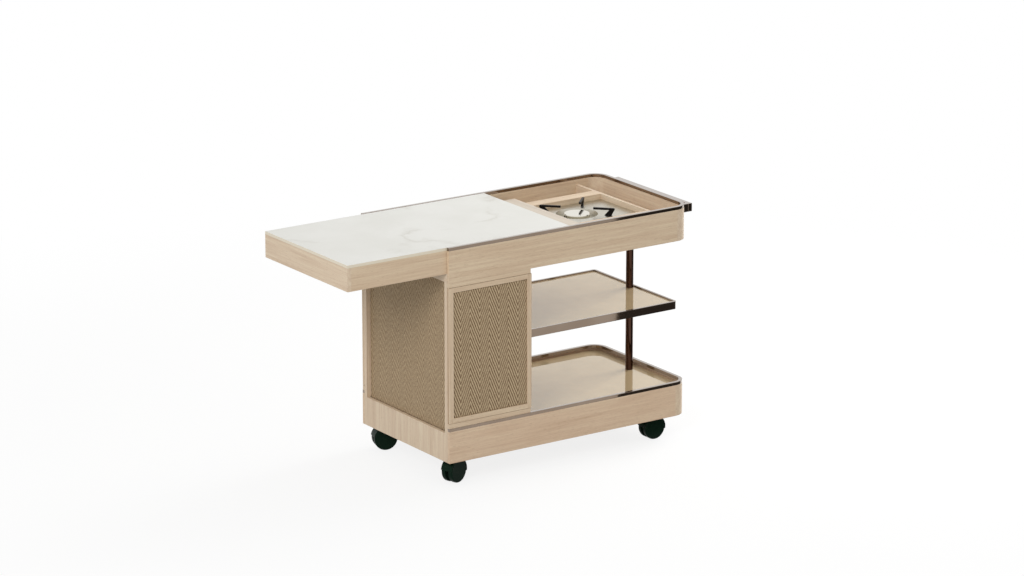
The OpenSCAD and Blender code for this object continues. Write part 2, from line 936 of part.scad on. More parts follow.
base_front();
base_back();
base_end();
base_round_end();
base_bottom();
base_battens();
base_floor();
base_rim();
base_mirror();
end_stiles();
end_weave();
cabinet_bottom();
cabinet_top();
cabinet_side();
shelf_edge();
shelf_board();
shelf_mirror();
post();
tray_front();
tray_back();
tray_round_end();
tray_end_rail();
tray_floor();
tray_rim();
partition();
guide_rails();
handle_bar();
handle_legs();
handle_studs();
surround_left();
surround_back();
surround_front();
hob_plate();
burner_base();
burner_cap();
pan_arms();
igniter();
gas_valve();
knob();
stone_top();
skirt_front();
skirt_back();
skirt_end();
runners();
door_front_frame();
door_front_weave();
door_back_frame();
door_back_weave();
door_pivots();
caster_plates();
caster_bolts();
caster_fl_fork();
caster_fl_wheels();
caster_fr_fork();
caster_fr_wheels();
caster_bl_fork();
caster_bl_wheels();
caster_br_fork();
caster_br_wheels();
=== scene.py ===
import math

import bmesh
import bpy
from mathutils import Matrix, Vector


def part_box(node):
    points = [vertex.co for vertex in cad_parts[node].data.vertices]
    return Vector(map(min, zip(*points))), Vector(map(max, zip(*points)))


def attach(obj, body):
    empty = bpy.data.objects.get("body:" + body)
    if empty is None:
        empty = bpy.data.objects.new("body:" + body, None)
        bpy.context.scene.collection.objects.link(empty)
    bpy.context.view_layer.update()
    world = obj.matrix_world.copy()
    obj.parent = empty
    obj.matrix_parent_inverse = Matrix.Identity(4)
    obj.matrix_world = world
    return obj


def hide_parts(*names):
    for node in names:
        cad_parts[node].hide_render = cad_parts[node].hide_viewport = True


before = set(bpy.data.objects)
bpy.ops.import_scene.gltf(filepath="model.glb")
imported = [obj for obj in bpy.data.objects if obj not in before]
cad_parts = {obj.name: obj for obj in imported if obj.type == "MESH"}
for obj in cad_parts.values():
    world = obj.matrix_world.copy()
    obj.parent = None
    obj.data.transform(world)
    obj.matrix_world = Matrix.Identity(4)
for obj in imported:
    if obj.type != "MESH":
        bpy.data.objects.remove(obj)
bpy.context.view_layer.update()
print("trolley frame loaded:", len(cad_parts), "nodes")


def toLinear(hexColour):
    channels = [int(hexColour[i:i + 2], 16) / 255 for i in (1, 3, 5)]
    linear = [c / 12.92 if c <= 0.04045 else ((c + 0.055) / 1.055) ** 2.4 for c in channels]
    return (*linear, 1.0)


def addNode(tree, kind, sockets=None, stops=(), **settings):
    # a node given to a socket stands for its first output in use, a string for a hex colour,
    # and a single number in a stop for a grey
    node = tree.nodes.new("ShaderNode" + kind)
    for key, value in settings.items():
        setattr(node, key, value)
    for key, value in (sockets or {}).items():
        if isinstance(value, bpy.types.Node):
            value = next(output for output in value.outputs if output.enabled)
        if isinstance(value, bpy.types.NodeSocket):
            tree.links.new(value, node.inputs[key])
        else:
            node.inputs[key].default_value = toLinear(value) if isinstance(value, str) else value
    if stops:
        elements = node.color_ramp.elements
        while len(elements) < len(stops):
            elements.new(0.5)
        for element, (position, colour) in zip(elements, stops):
            element.position = position
            grey = (colour, colour, colour, 1)
            element.color = toLinear(colour) if isinstance(colour, str) else grey
    return node


def newMaterial(name):
    material = bpy.data.materials.new(name)
    material.use_nodes = True
    material.node_tree.nodes.clear()
    return material, material.node_tree


def put(material, *names):
    for name in names:
        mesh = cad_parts[name].data
        mesh.materials.clear()
        mesh.materials.append(material)


# Light oak veneer, brushed and sealed with a satin lacquer: close straight grain, pale
# streaks with short darker pores, and a soft sheen that runs with the grain.
oak = {
    "early": "#DFCFB7",
    "middle": "#D6C2AA",
    "late": "#C7B097",
    "pore": "#AC947B",
    # a pale grey toward which the left rail of the surround is mixed
    "bleached": "#C9C6BE",
    "streakMm": 14,          # broad streaks across the grain
    "streakStretch": 26,     # length of a streak against its width
    "ringMm": 3.2,           # year rings, drawn coarser than the real 1.5 mm so that they show
    "ringStretch": 57.2,
    "ringShare": 0.42,       # how much of the figure the rings make
    "ringDepthMm": 0.4,
    "poreMm": 0.9,           # drawn coarser than the real 0.3 mm so that they show
    "poreStretch": 22,
    "poreDepthMm": 0.2,
    "roughness": 0.42,
    "edgeMm": 0.9,           # broken arrises
}

# painted shade: the inner faces of the base boards, which stand in shade between them, take a
# darker brown in their colour
baseInnerShade = {
    "tone": "#BFB6B3",
    "middle": (0.06, 0.0, 0.0),
    "distance": 0.05,        # metres from the middle beyond which a face counts
}

# each cut of the veneer: the axis of its grain, its place in the log, and its tone
boards = {
    "satin oak, level grain": {
        "grain": "X", "shift": (0.4, 0.1, 0.3), "tone": "#FBF6EF",
        "pieces": ("base_bottom", "base_floor", "tray_front", "tray_back", "tray_floor",
                   "skirt_front", "skirt_back", "surround_back", "surround_front",
                   "cabinet_bottom", "cabinet_top")},
    "satin oak, cross grain": {
        "grain": "Y", "shift": (1.7, 0.6, 0.2), "tone": "#FFFDFB",
        "pieces": ("base_battens", "tray_round_end", "tray_end_rail", "skirt_end",
                   "partition", "shelf_board")},
    "satin oak, upright grain": {
        "grain": "Z", "shift": (2.3, 1.4, 0.8), "tone": "#FFFDFB",
        "pieces": ("base_end", "end_stiles", "cabinet_side")},
    "satin oak, framed": {
        "grain": "X", "shift": (3.1, 0.4, 1.2), "tone": "#FAF5EE",
        "stiles": {"middle": -0.1615, "from": 0.1515},   # door middle, metres from it to a stile
        "pieces": ("door_front_frame", "door_back_frame")},
    # the left rail of the surround: its colour is mixed halfway toward a pale grey
    "satin oak, bleached rail": {
        "grain": "Y", "shift": (0.9, 2.2, 0.5), "tone": "#FFFDFB", "pale": 0.5,
        "pieces": ("surround_left",)},
    # the base boards: painted shade darkens their inner faces
    "satin oak, base, level grain, painted inner shade": {
        "grain": "X", "shift": (0.7, 0.3, 0.9), "tone": "#FDF4ED", "inside": baseInnerShade,
        "pieces": ("base_front", "base_back")},
    "satin oak, base, cross grain, painted inner shade": {
        "grain": "Y", "shift": (1.7, 0.6, 0.2), "tone": "#FFFCF8", "inside": baseInnerShade,
        "pieces": ("base_round_end",)},
}


def lacqueredOak(name, board):
    material, tree = newMaterial(name)
    coords = addNode(tree, "TexCoord").outputs["Object"]
    moved = addNode(tree, "Mapping", {"Vector": coords, "Location": board["shift"]})
    if "stiles" in board:
        # upright grain in the stiles, level grain in the rails
        stiles = board["stiles"]
        parts = addNode(tree, "SeparateXYZ", {"Vector": coords})
        off = addNode(tree, "Math", {0: parts.outputs["X"], 1: stiles["middle"]},
                      operation="SUBTRACT")
        away = addNode(tree, "Math", {0: off}, operation="ABSOLUTE")
        isStile = addNode(tree, "Math", {0: away, 1: stiles["from"]}, operation="GREATER_THAN")
        turned = addNode(tree, "Mapping", {"Vector": moved, "Rotation": (0, math.pi / 2, 0)})
        moved = addNode(tree, "Mix", {"Factor": isStile, "A": moved, "B": turned},
                        data_type="VECTOR")

    def grain(widthMm, stretch, detail, roughness, distortion=0.0):
        across = 1000 / widthMm
        along = across / stretch
        # the mapping carries the scale, so the noise itself keeps a scale of one
        fit = addNode(tree, "Mapping", {
            "Vector": moved,
            "Scale": tuple(along if axis == board["grain"] else across for axis in "XYZ")})
        return addNode(tree, "TexNoise", {
            "Vector": fit, "Scale": 1.0, "Detail": detail, "Roughness": roughness,
            "Distortion": distortion})

    streaks = grain(oak["streakMm"], oak["streakStretch"], 4, 0.55, 0.4)
    rings = grain(oak["ringMm"], oak["ringStretch"], 3, 0.6, 0.2)
    pores = grain(oak["poreMm"], oak["poreStretch"], 2, 0.5)
    figure = addNode(tree, "Mix", {"Factor": oak["ringShare"], "A": streaks, "B": rings},
                     data_type="FLOAT")
    wood = addNode(tree, "ValToRGB", {"Fac": figure}, stops=[
        (0.30, oak["late"]), (0.48, oak["middle"]), (0.62, oak["early"])])
    poreMask = addNode(tree, "ValToRGB", {"Fac": pores}, stops=[(0.30, 0.55), (0.41, 0.0)])
    withPores = addNode(tree, "Mix", {"Factor": poreMask, "A": wood, "B": oak["pore"]},
                        data_type="RGBA")
    toned = addNode(tree, "Mix", {"Factor": 1.0, "A": withPores, "B": board["tone"]},
                    data_type="RGBA", blend_type="MULTIPLY")
    # mix the colour toward the pale grey
    if "pale" in board:
        toned = addNode(tree, "Mix", {"Factor": board["pale"], "A": toned, "B": oak["bleached"]},
                        data_type="RGBA")
    if "inside" in board:
        # a face is an inner one when it looks at the middle, and it gets the painted shade
        inside = board["inside"]
        flat = addNode(tree, "VectorMath", {0: coords, 1: (1, 1, 0)}, operation="MULTIPLY")
        outwards = addNode(tree, "VectorMath", {0: flat, 1: inside["middle"]},
                           operation="SUBTRACT")
        normal = addNode(tree, "NewGeometry").outputs["True Normal"]
        facing = addNode(tree, "VectorMath", {0: outwards, 1: normal}, operation="DOT_PRODUCT")
        isShadedInner = addNode(tree, "Math", {0: facing, 1: -inside["distance"]},
                          operation="LESS_THAN")
        toned = addNode(tree, "Mix", {"Factor": isShadedInner, "A": toned, "B": inside["tone"]},
                        data_type="RGBA", blend_type="MULTIPLY")
    arris = addNode(tree, "Bevel", {"Radius": oak["edgeMm"] / 1000}, samples=4)
    pitted = addNode(tree, "Bump", {
        "Height": pores, "Strength": 0.10, "Distance": oak["poreDepthMm"] / 1000,
        "Normal": arris})
    brushed = addNode(tree, "Bump", {
        "Height": rings, "Strength": 0.08, "Distance": oak["ringDepthMm"] / 1000,
        "Normal": pitted})
    sheen = addNode(tree, "ValToRGB", {"Fac": rings}, stops=[
        (0.3, oak["roughness"] + 0.06), (0.7, oak["roughness"] - 0.05)])
    shader = addNode(tree, "BsdfPrincipled", {
        "Base Color": toned, "Roughness": sheen, "Normal": brushed, "IOR": 1.5,
        "Specular IOR Level": 0.35})
    addNode(tree, "OutputMaterial", {"Surface": shader})
    return material


for name, board in boards.items():
    put(lacqueredOak(name, board), *board["pieces"])
print("oak boards finished")


# Herringbone of twisted paper cord: tan cords over dark brown ones in slanting ribs that turn
# at each column, so the panel reads as rows of tall arrow heads. The ribs stand out of the
# mesh, and the finer beads of the cord passes are in the material.
weave = {
    "tan": "#CBB593",
    "middle": "#A89173",
    "dark": "#765F45",
    "columnMm": 39.2,        # width of a column between two turns
    "riseMm": 22.0,          # height from one dark rib to the next
    "slantMm": 9.2,          # width from one dark rib to the next
    "swayRibs": 0.06,        # how far hand-laid ribs wander, as a share of a rib
    "swayMm": (61, 43),      # from one bend to the next, along and up
    "beadShare": (0.14, 0.40),   # even and odd columns; most where the ribs show least
    "passesPerRib": 2,       # cord passes in the height of one rib
    "beadDepthMm": 0.8,
    "patchMm": 5.26,         # patches of uneven dye
    "patchShare": 0.8,       # how much they change the tone
    "fibreMm": 1.11,         # twist of the paper in a cord
    "fibreDepthMm": 0.3,
    "reliefMm": 1.1,         # from groove to rib, in the mesh
    "stepMm": (1.7, 3.7),    # mesh steps across and up
    "roughness": 0.72,
}

# the axis across the columns, where the first one starts (in metres along it), and how
# strongly the ribs show in the even and the odd columns
doorCords = {"across": "X", "start": -0.3216, "contrast": (0.95, 0.66)}
endCords = {"across": "Y", "start": -0.246, "contrast": (0.50, 0.42)}


def ribLevel(along, up):
    # 1 on top of a rib, 0 in the groove; along and up are in millimetres
    side = along / weave["columnMm"]
    turn = abs(side - 2 * round(side / 2))
    sway = math.prod(math.sin(2 * math.pi * distance / period)
                     for distance, period in zip((along, up), weave["swayMm"]))
    ribs = (up / weave["riseMm"] + turn * weave["columnMm"] / weave["slantMm"]
            + weave["swayRibs"] * sway)
    return 0.5 + 0.5 * math.sin(2 * math.pi * ribs)


def wovenPanel(node, body, outward, cords, material):
    low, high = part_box(node)
    across = "XY".index(cords["across"])
    face = 1 - across
    outer, inner = (high[face], low[face]) if outward > 0 else (low[face], high[face])
    steps, rows = [max(2, round((high[axis] - low[axis]) * 1000 / step))
                   for axis, step in zip((across, 2), weave["stepMm"])]
    relief = weave["reliefMm"] / 1000
    points, faces = [], []

    def addPoint(along, up, depth):
        point = [0.0, 0.0, up]
        point[across], point[face] = along, depth
        points.append(point)

    for j in range(rows + 1):
        up = low[2] + (high[2] - low[2]) * j / rows
        for i in range(steps + 1):
            along = low[across] + (high[across] - low[across]) * i / steps
            alongMm = (along - cords["start"]) * 1000
            isOdd = math.floor(alongMm / weave["columnMm"]) % 2
            level = ribLevel(alongMm, up * 1000)
            atEdge = i in (0, steps) or j in (0, rows)
            sunk = relief if atEdge else relief * (0.5 - cords["contrast"][isOdd] * (level - 0.5))
            addPoint(along, up, outer - outward * sunk)
    row = steps + 1
    for j in range(rows):
        for i in range(steps):
            k = j * row + i
            faces.append((k, k + 1, k + row + 1, k + row))
    # flat back, joined to the ribs by the four narrow sides
    ring = list(range(steps))
    ring += [steps + j * row for j in range(rows)]
    ring += [rows * row + i for i in range(steps, 0, -1)]
    ring += [j * row for j in range(rows, 0, -1)]
    back = []
    for k in ring:
        back.append(len(points))
        addPoint(points[k][across], points[k][2], inner)
    for n, k in enumerate(ring):
        m = (n + 1) % len(ring)
        faces.append((ring[m], k, back[n], back[m]))
    faces.append(tuple(reversed(back)))
    mesh = bpy.data.meshes.new(node + "_cords")
    mesh.from_pydata(points, [], faces)
    shaped = bmesh.new()
    shaped.from_mesh(mesh)
    bmesh.ops.recalc_face_normals(shaped, faces=shaped.faces)
    # the ribs shade smoothly, the narrow sides and the back stay flat
    for polygon in shaped.faces:
        polygon.smooth = len(polygon.verts) == 4 and abs(polygon.normal[face]) > 0.3
    shaped.to_mesh(mesh)
    shaped.free()
    mesh.materials.append(material)
    panel = bpy.data.objects.new(node + "_cords", mesh)
    bpy.context.scene.collection.objects.link(panel)
    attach(panel, body)
    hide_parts(node)


def cordHerringbone(name, cords):
    material, tree = newMaterial(name)
    coords = addNode(tree, "TexCoord").outputs["Object"]
    parts = addNode(tree, "SeparateXYZ", {"Vector": coords})
    up = parts.outputs["Z"]
    moved = addNode(tree, "Math", {0: parts.outputs[cords["across"]], 1: cords["start"]},
                    operation="SUBTRACT")
    side = addNode(tree, "Math", {0: moved, 1: 1000 / weave["columnMm"]}, operation="MULTIPLY")
    column = addNode(tree, "Math", {0: side}, operation="FLOOR")
    wholeColumn = addNode(tree, "Math", {0: column}, operation="ABSOLUTE")
    odd = addNode(tree, "Math", {0: wholeColumn, 1: 2.0}, operation="MODULO")

    # ribs: they slant up in one column and down in the next
    turn = addNode(tree, "Math", {0: side, 1: 1.0}, operation="PINGPONG")
    rise = addNode(tree, "Math", {0: up, 1: 1000 / weave["riseMm"]}, operation="MULTIPLY")
    slant = addNode(tree, "Math", {0: turn, 1: weave["columnMm"] / weave["slantMm"]},
                    operation="MULTIPLY")
    swings = []
    for distance, period in zip((moved, up), weave["swayMm"]):
        angle = addNode(tree, "Math", {0: distance, 1: 2000 * math.pi / period},
                        operation="MULTIPLY")
        swings.append(addNode(tree, "Math", {0: angle}, operation="SINE"))
    swing = addNode(tree, "Math", {0: swings[0], 1: swings[1]}, operation="MULTIPLY")
    sway = addNode(tree, "Math", {0: swing, 1: weave["swayRibs"]}, operation="MULTIPLY")
    straight = addNode(tree, "Math", {0: rise, 1: slant}, operation="ADD")
    ribs = addNode(tree, "Math", {0: straight, 1: sway}, operation="ADD")
    ribAngle = addNode(tree, "Math", {0: ribs, 1: 2 * math.pi}, operation="MULTIPLY")
    wave = addNode(tree, "Math", {0: ribAngle}, operation="SINE")
    evenDepth, oddDepth = cords["contrast"]
    depth = addNode(tree, "Math", {0: odd, 1: oddDepth - evenDepth, 2: evenDepth},
                    operation="MULTIPLY_ADD")

    # beads: the cord passes that cross the ribs
    crossing = addNode(tree, "Math", {0: rise, 1: slant}, operation="SUBTRACT")
    passAngle = addNode(tree, "Math", {0: crossing, 1: 2 * math.pi * weave["passesPerRib"]},
                        operation="MULTIPLY")
    passes = addNode(tree, "Math", {0: passAngle}, operation="SINE")
    evenBeads, oddBeads = weave["beadShare"]
    beadShare = addNode(tree, "Math", {0: odd, 1: oddBeads - evenBeads, 2: evenBeads},
                        operation="MULTIPLY_ADD")
    beads = addNode(tree, "Math", {0: passes, 1: beadShare}, operation="MULTIPLY")

    woven = addNode(tree, "Math", {0: wave, 1: depth, 2: beads}, operation="MULTIPLY_ADD")
    spread = addNode(tree, "Math", {0: woven, 1: 0.5, 2: 0.5}, operation="MULTIPLY_ADD")
    patches = addNode(tree, "TexNoise", {
        "Vector": coords, "Scale": 1000 / weave["patchMm"], "Detail": 3.0})
    dye = addNode(tree, "Math", {
        0: patches, 1: weave["patchShare"], 2: -weave["patchShare"] / 2},
        operation="MULTIPLY_ADD")
    uneven = addNode(tree, "Math", {0: spread, 1: dye}, operation="ADD")
    colour = addNode(tree, "ValToRGB", {"Fac": uneven}, stops=[
        (0.10, weave["dark"]), (0.5, weave["middle"]), (0.90, weave["tan"])])
    fibres = addNode(tree, "TexNoise", {
        "Vector": coords, "Scale": 1000 / weave["fibreMm"], "Detail": 3.0})
    fibreTone = addNode(tree, "ValToRGB", {"Fac": fibres}, stops=[(0.3, 0.86), (0.7, 1.0)])
    mixed = addNode(tree, "Mix", {"Factor": 1.0, "A": colour, "B": fibreTone},
                    data_type="RGBA", blend_type="MULTIPLY")
    relief = addNode(tree, "Bump", {
        "Height": beads, "Strength": 0.6, "Distance": weave["beadDepthMm"] / 1000})
    fine = addNode(tree, "Bump", {
        "Height": fibres, "Strength": 0.25, "Distance": weave["fibreDepthMm"] / 1000,
        "Normal": relief})
    shader = addNode(tree, "BsdfPrincipled", {
        "Base Color": mixed, "Roughness": weave["roughness"], "Normal": fine,
        "Specular IOR Level": 0.25, "Sheen Weight": 0.08, "Sheen Roughness": 0.5})
    addNode(tree, "OutputMaterial", {"Surface": shader})
    return material


doorCord = cordHerringbone("cord herringbone, doors", doorCords)
endCord = cordHerringbone("cord herringbone, end panel", endCords)
wovenPanel("door_front_weave", "front_door", -1, doorCords, doorCord)
wovenPanel("door_back_weave", "back_door", 1, doorCords, doorCord)
wovenPanel("end_weave", "trolley", -1, endCords, endCord)
print("woven panels finished")


# Honed white marble: cool off-white ground, a few faint grey veins and a dull sheen.
marble = {
    "ground": "#E1E0DA",
    "cloud": "#DCDBD4",
    "vein": "#C9C6BC",
    "edge": "#E2D8C4",       # sawn edges, a little warmer
    "cloudMm": 200,          # soft clouds in the ground
    "warp": 0.16,            # how far the clouds bend the veins
    "veinMm": 330,           # distance between veins
    "patchMm": 238,          # patches in which the veins show
    "roughness": 0.33,
    "edgeMm": 1.2,
}


def honedMarble():
    material, tree = newMaterial("honed white marble")
    coords = addNode(tree, "TexCoord").outputs["Object"]
    warp = addNode(tree, "TexNoise", {
        "Vector": coords, "Scale": 1000 / marble["cloudMm"], "Detail": 5.0, "Roughness": 0.55})
    pushed = addNode(tree, "Mix", {
        "Factor": marble["warp"], "A": coords, "B": warp.outputs["Color"]}, data_type="VECTOR")
    field = addNode(tree, "TexNoise", {
        "Vector": pushed, "Scale": 1000 / marble["veinMm"], "Detail": 2.0, "Roughness": 0.4})
    away = addNode(tree, "Math", {0: field, 1: 0.5}, operation="SUBTRACT")
    near = addNode(tree, "Math", {0: away}, operation="ABSOLUTE")
    line = addNode(tree, "ValToRGB", {"Fac": near}, stops=[
        (0.0, 0.75), (0.006, 0.35), (0.03, 0.0)])
    patches = addNode(tree, "TexNoise", {
        "Vector": coords, "Scale": 1000 / marble["patchMm"], "Detail": 2.0})
    shown = addNode(tree, "ValToRGB", {"Fac": patches}, stops=[(0.50, 0.0), (0.62, 1.0)])
    veinMask = addNode(tree, "Math", {0: line, 1: shown}, operation="MULTIPLY")
    ground = addNode(tree, "ValToRGB", {"Fac": warp}, stops=[
        (0.35, marble["cloud"]), (0.60, marble["ground"])])
    veined = addNode(tree, "Mix", {"Factor": veinMask, "A": ground, "B": marble["vein"]},
                     data_type="RGBA")
    normal = addNode(tree, "NewGeometry").outputs["True Normal"]
    facing = addNode(tree, "SeparateXYZ", {"Vector": normal})
    level = addNode(tree, "Math", {0: facing.outputs["Z"]}, operation="ABSOLUTE")
    isEdge = addNode(tree, "Math", {0: level, 1: 0.5}, operation="LESS_THAN")
    tint = addNode(tree, "Mix", {"Factor": isEdge, "A": veined, "B": marble["edge"]},
                   data_type="RGBA")
    arris = addNode(tree, "Bevel", {"Radius": marble["edgeMm"] / 1000}, samples=4)
    shader = addNode(tree, "BsdfPrincipled", {
        "Base Color": tint, "Roughness": marble["roughness"], "Normal": arris, "IOR": 1.5,
        "Specular IOR Level": 0.4})
    addNode(tree, "OutputMaterial", {"Surface": shader})
    return material


put(honedMarble(), "stone_top")
print("stone finished")


# Steel coloured bronze by vapour coating, polished and lacquered: it lives on what it mirrors,
# from a mid brown where it shows the pale studio to near black, with pale rounded arrises.
bronze = {
    "roughness": 0.045,
    "spread": 0.02,          # of the roughness
    "hairMm": 0.25,          # level polishing hairlines, drawn coarser than the real 0.05 mm
    "hairLengthMm": 25,
    "hairDepthMm": 0.1,
    "blotchMm": 111,         # slow change of the coating's colour
    "lacquerIor": 1.8,
    "lacquerRoughness": 0.04,
}
bronzeRim = {"colours": ("#816C58", "#79634D"), "edgeMm": 1.6, "lacquer": 1.0}
# the post's colours carry painted shade: darker than the rim's, standing in for the dark
# surroundings that the post mirrors
shadedBronzeTube = {"colours": ("#513B31", "#483329"), "edgeMm": 0.6, "lacquer": 0.0}


def polishedBronze(name, part):
    material, tree = newMaterial(name)
    coords = addNode(tree, "TexCoord").outputs["Object"]
    level = 1000 / bronze["hairLengthMm"]
    fit = addNode(tree, "Mapping", {
        "Vector": coords, "Scale": (level, level, 1000 / bronze["hairMm"])})
    hair = addNode(tree, "TexNoise", {"Vector": fit, "Scale": 1.0, "Detail": 2.0})
    blotch = addNode(tree, "TexNoise", {
        "Vector": coords, "Scale": 1000 / bronze["blotchMm"], "Detail": 2.0})
    rough = addNode(tree, "MapRange", {
        "Value": hair, "From Min": 0.3, "From Max": 0.7,
        "To Min": bronze["roughness"] - bronze["spread"],
        "To Max": bronze["roughness"] + bronze["spread"]})
    tint = addNode(tree, "ValToRGB", {"Fac": blotch}, stops=[
        (0.35, part["colours"][0]), (0.65, part["colours"][1])])
    arris = addNode(tree, "Bevel", {"Radius": part["edgeMm"] / 1000}, samples=8)
    relief = addNode(tree, "Bump", {
        "Height": hair, "Strength": 0.02, "Distance": bronze["hairDepthMm"] / 1000,
        "Normal": arris})
    shader = addNode(tree, "BsdfPrincipled", {
        "Base Color": tint, "Metallic": 1.0, "Roughness": rough, "Normal": relief,
        "Coat Weight": part["lacquer"], "Coat IOR": bronze["lacquerIor"],
        "Coat Roughness": bronze["lacquerRoughness"], "Coat Normal": arris})
    addNode(tree, "OutputMaterial", {"Surface": shader})
    return material


put(polishedBronze("polished bronze rim", bronzeRim),
    "base_rim", "tray_rim", "shelf_edge", "handle_bar", "handle_legs")
put(polishedBronze("polished bronze tube, painted dark", shadedBronzeTube), "post")


# Bronze-tinted mirror glass, painted behind: a warm brown ground under a clear shine that
# turns nearly to a mirror at low angles.
mirror = {
    "colour": "#BCA885",
    "haze": "#C2AE8B",
    "hazeMm": 71.4,          # wiped haze
    "roughness": 0.02,
    "spread": 0.02,          # of the roughness
    "metallic": 0.12,        # a little of the silvering behind
    "ior": 1.7,
    "specular": 1.0,
}


def bronzeMirror():
    material, tree = newMaterial("bronze mirror glass")
    coords = addNode(tree, "TexCoord").outputs["Object"]
    haze = addNode(tree, "TexNoise", {
        "Vector": coords, "Scale": 1000 / mirror["hazeMm"], "Detail": 3.0})
    rough = addNode(tree, "MapRange", {
        "Value": haze, "From Min": 0.3, "From Max": 0.7, "To Min": mirror["roughness"],
        "To Max": mirror["roughness"] + mirror["spread"]})
    tint = addNode(tree, "ValToRGB", {"Fac": haze}, stops=[
        (0.3, mirror["colour"]), (0.7, mirror["haze"])])
    shader = addNode(tree, "BsdfPrincipled", {
        "Base Color": tint, "Roughness": rough, "Metallic": mirror["metallic"],
        "IOR": mirror["ior"], "Specular IOR Level": mirror["specular"]})
    addNode(tree, "OutputMaterial", {"Surface": shader})
    return material


put(bronzeMirror(), "base_mirror", "shelf_mirror")
print("bronze finished")


# Stainless steel: the plate is brushed along the trolley, which draws its highlights out, and
# the burner cap is polished and keeps them sharp. Zinc plating, browned steel and cast
# aluminium are duller, with a coarser grain.
steel = {
    "hairLengthMm": 33.3,    # of a brush line; its width, hairMm, is coarser than the real 0.1 mm
    "hairDepthMm": 0.1,
    "spread": 0.05,          # of the roughness
    "edgeMm": 0.5,
}
steelParts = {
    "brushed stainless steel": {
        "colours": ("#C2BDB0", "#CDC8BB"), "roughness": 0.30, "hairMm": 0.5, "along": "X",
        "pieces": ("hob_plate",)},
    "polished stainless steel": {
        "colours": ("#DDD9CE", "#E5E1D6"), "roughness": 0.10, "hairMm": 0.4, "along": "X",
        "pieces": ("burner_cap",)},
    "zinc-plated steel": {
        "colours": ("#A9AAA8", "#B8B9B6"), "roughness": 0.38, "hairMm": 1.2, "along": "X",
        "pieces": ("guide_rails", "runners", "handle_studs", "caster_plates", "caster_bolts")},
    "browned steel": {
        "colours": ("#5B4A3C", "#66543F"), "roughness": 0.42, "hairMm": 1.2, "along": "X",
        "pieces": ("door_pivots",)},
    "cast aluminium": {
        "colours": ("#7D7C79", "#8C8B87"), "roughness": 0.55, "hairMm": 1.0, "along": "Z",
        "pieces": ("burner_base", "gas_valve")},
}


def brushedMetal(name, part):
    material, tree = newMaterial(name)
    coords = addNode(tree, "TexCoord").outputs["Object"]
    fit = addNode(tree, "Mapping", {
        "Vector": coords,
        "Scale": [1000 / (steel["hairLengthMm"] if axis == part["along"] else part["hairMm"])
                  for axis in "XYZ"]})
    hair = addNode(tree, "TexNoise", {"Vector": fit, "Scale": 1.0, "Detail": 3.0})
    tint = addNode(tree, "ValToRGB", {"Fac": hair}, stops=[
        (0.3, part["colours"][0]), (0.7, part["colours"][1])])
    rough = addNode(tree, "MapRange", {
        "Value": hair, "From Min": 0.3, "From Max": 0.7,
        "To Min": part["roughness"] - steel["spread"],
        "To Max": part["roughness"] + steel["spread"]})
    arris = addNode(tree, "Bevel", {"Radius": steel["edgeMm"] / 1000}, samples=4)
    relief = addNode(tree, "Bump", {
        "Height": hair, "Strength": 0.06, "Distance": steel["hairDepthMm"] / 1000,
        "Normal": arris})
    shader = addNode(tree, "BsdfPrincipled", {
        "Base Color": tint, "Metallic": 1.0, "Roughness": rough, "Normal": relief})
    addNode(tree, "OutputMaterial", {"Surface": shader})
    return material


for name, part in steelParts.items():
    put(brushedMetal(name, part), *part["pieces"])
print("steel finished")


# Black vitreous enamel on cast iron, and moulded plastics: dark grounds that live on
# their highlights; the casters' gloss is slightly green.
darkParts = {
    "black enamelled iron": {
        "colours": ("#0E0B0A", "#161211"), "roughness": 0.30, "grainMm": 2.0, "relief": 0.10,
        "shine": 0.10, "pieces": ("pan_arms", "igniter")},
    "black moulded knob": {
        "colours": ("#1B1B1B", "#222222"), "roughness": 0.45, "grainMm": 0.6, "relief": 0.15,
        "shine": 0.3, "pieces": ("knob",),
        # pointer line along one half of the grip: its middle and half its width, in metres
        "mark": {"x": 0.521, "y": -0.223, "half": 0.0006, "colour": "#E8E6E0"}},
    "glossy caster shell": {
        "colours": ("#0B1C13", "#12281B"), "roughness": 0.26, "grainMm": 3.0, "relief": 0.03,
        "shine": 0.05,
        "pieces": ("caster_fl_fork", "caster_fr_fork", "caster_bl_fork", "caster_br_fork")},
    "glossy caster wheel": {
        "colours": ("#0B1A12", "#11261A"), "roughness": 0.30, "grainMm": 3.0, "relief": 0.03,
        "shine": 0.05,
        "pieces": ("caster_fl_wheels", "caster_fr_wheels", "caster_bl_wheels",
                   "caster_br_wheels")},
}
darkFinish = {"edgeMm": 0.8, "grainDepthMm": 0.2}    # grain: ripple of enamel or moulding


